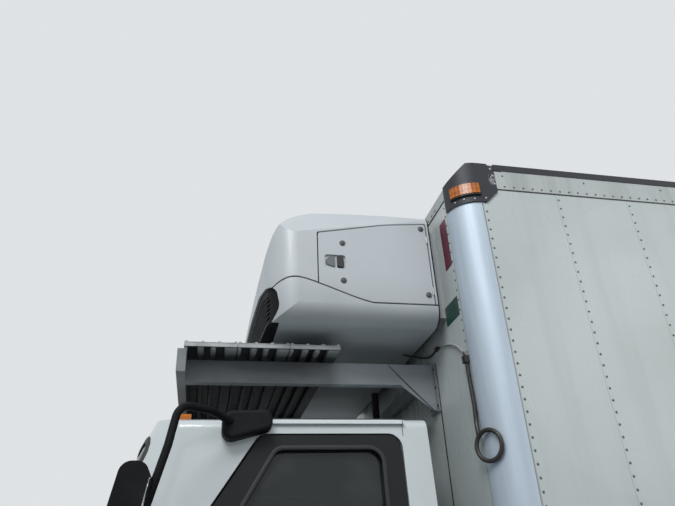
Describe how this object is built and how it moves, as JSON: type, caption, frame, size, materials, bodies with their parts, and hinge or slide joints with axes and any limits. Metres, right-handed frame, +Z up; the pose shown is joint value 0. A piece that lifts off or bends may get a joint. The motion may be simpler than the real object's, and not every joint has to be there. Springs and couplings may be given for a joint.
{
  "type": "refrigerated box truck",
  "caption": "Cab-over refrigerated box truck with insulated body, nose-mounted cooling unit, cab-roof catwalk, steering, rolling wheels and opening doors.",
  "frame": {"origin": "on the ground under the middle of the truck's overall length, on its centre line", "axes": "+X forward, +Y to the truck's left, +Z up"},
  "size_m": [8.08, 2.79, 3.388],
  "materials": {
    "white_box_panel": "gloss white laminate",
    "white_cab_paint": "gloss",
    "white_unit_moulding": "satin gloss",
    "aluminium_trim": "satin",
    "aluminium_plank": "mill finish",
    "chassis_black": "semi gloss",
    "cast_dark": "satin",
    "wheel_silver": "satin",
    "tyre_rubber": "matte",
    "black_plastic": "matte",
    "grey_plastic": "matte",
    "tinted_glass": "clear tinted",
    "amber_lens": "gloss",
    "red_lens": "gloss",
    "clear_lens": "gloss",
    "seat_fabric": "woven",
    "steel": "brushed",
    "black_rubber": "matte",
    "cast_iron": "rough"
  },
  "bodies": {
    "chassis": {"amber_lamps": "amber_lens", "battery_box": "black_plastic", "box_floor": "aluminium_plank", "box_front_wall": "white_box_panel", "box_rails": "aluminium_trim", "box_roof": "white_box_panel", "box_side_walls": "white_box_panel", "cab_glass": "tinted_glass", "cab_grille": "black_plastic", "cab_shell": "white_cab_paint", "chassis_rails": "chassis_black", "corner_castings": "cast_dark", "crossmembers": "chassis_black", "dashboard": "grey_plastic", "engine_block": "cast_iron", "exhaust": "steel", "front_axle": "chassis_black", "front_bumper": "white_cab_paint", "fuel_tanks": "aluminium_trim", "headlamps": "clear_lens", "leaf_springs": "chassis_black", "mirrors": "black_plastic", "mudguards": "black_plastic", "platform_arms": "aluminium_trim", "platform_deck": "aluminium_plank", "propshaft": "chassis_black", "rear_axle": "chassis_black", "rear_frame": "steel", "seats": "seat_fabric", "service_lines": "black_rubber", "tail_lamps": "red_lens", "towing_eye": "steel", "underride_guard": "chassis_black", "unit_core": "steel", "unit_grille": "black_plastic", "unit_lower_shell": "white_unit_moulding", "unit_upper_shell": "white_unit_moulding"},
    "knuckle_left": {"knuckle_left": "cast_iron"},
    "knuckle_right": {"knuckle_right": "cast_iron"},
    "wheel_front_left": {"front_rim_left": "wheel_silver", "front_tyre_left": "tyre_rubber"},
    "wheel_front_right": {"front_rim_right": "wheel_silver", "front_tyre_right": "tyre_rubber"},
    "wheels_rear_left": {"rear_rims_left": "wheel_silver", "rear_tyres_left": "tyre_rubber"},
    "wheels_rear_right": {"rear_rims_right": "wheel_silver", "rear_tyres_right": "tyre_rubber"},
    "track_rod": {"track_rod": "chassis_black"},
    "cab_door_left": {"cab_door_left": "white_cab_paint", "door_glass_left": "tinted_glass"},
    "cab_door_right": {"cab_door_right": "white_cab_paint", "door_glass_right": "tinted_glass"},
    "box_door_left": {"box_door_left": "white_box_panel"},
    "box_door_right": {"box_door_right": "white_box_panel"},
    "unit_door_left": {"unit_door_left": "white_unit_moulding"},
    "unit_door_right": {"unit_door_right": "white_unit_moulding"}
  },
  "joints": [
    {"name": "steer_left", "type": "hinge", "parent": "chassis", "child": "knuckle_left", "pos_m": [2.93, 0.735, 0.405], "axis": [0, 0, 1], "range_deg": [-38, 38]},
    {"name": "steer_right", "type": "hinge", "parent": "chassis", "child": "knuckle_right", "pos_m": [2.93, -0.735, 0.405], "axis": [0, 0, 1], "range_deg": [-38, 38]},
    {"name": "track_rod_slide", "type": "slide", "parent": "chassis", "child": "track_rod", "axis": [0, 1, 0], "range_m": [-0.1, 0.1]},
    {"name": "spin_front_left", "type": "hinge", "parent": "knuckle_left", "child": "wheel_front_left", "pos_m": [2.93, 0.84, 0.405], "axis": [0, 1, 0], "continuous": true},
    {"name": "spin_front_right", "type": "hinge", "parent": "knuckle_right", "child": "wheel_front_right", "pos_m": [2.93, -0.84, 0.405], "axis": [0, 1, 0], "continuous": true},
    {"name": "spin_rear_left", "type": "hinge", "parent": "chassis", "child": "wheels_rear_left", "pos_m": [-1.54, 0.832, 0.405], "axis": [0, 1, 0], "continuous": true},
    {"name": "spin_rear_right", "type": "hinge", "parent": "chassis", "child": "wheels_rear_right", "pos_m": [-1.54, -0.832, 0.405], "axis": [0, 1, 0], "continuous": true},
    {"name": "cab_door_left_swing", "type": "hinge", "parent": "chassis", "child": "cab_door_left", "pos_m": [3.51, 1.014, 1.185], "axis": [0, 0, -1], "range_deg": [0, 65]},
    {"name": "cab_door_right_swing", "type": "hinge", "parent": "chassis", "child": "cab_door_right", "pos_m": [3.51, -1.014, 1.185], "axis": [0, 0, 1], "range_deg": [0, 65]},
    {"name": "box_door_left_swing", "type": "hinge", "parent": "chassis", "child": "box_door_left", "pos_m": [-4.02, 1.238, 2.1], "axis": [0, 0, -1], "range_deg": [0, 270]},
    {"name": "box_door_right_swing", "type": "hinge", "parent": "chassis", "child": "box_door_right", "pos_m": [-4.02, -1.238, 2.1], "axis": [0, 0, 1], "range_deg": [0, 270]},
    {"name": "unit_door_left_swing", "type": "hinge", "parent": "chassis", "child": "unit_door_left", "pos_m": [2.18, 0.955, 2.95], "axis": [0, 0, 1], "range_deg": [0, 90]},
    {"name": "unit_door_right_swing", "type": "hinge", "parent": "chassis", "child": "unit_door_right", "pos_m": [2.18, -0.955, 2.95], "axis": [0, 0, -1], "range_deg": [0, 90]}
  ],
  "couplings": [
    {"joint": "steer_right", "follows": "steer_left", "ratio": 1},
    {"joint": "track_rod_slide", "follows": "steer_left", "m_per_rad": -0.143}
  ]
}
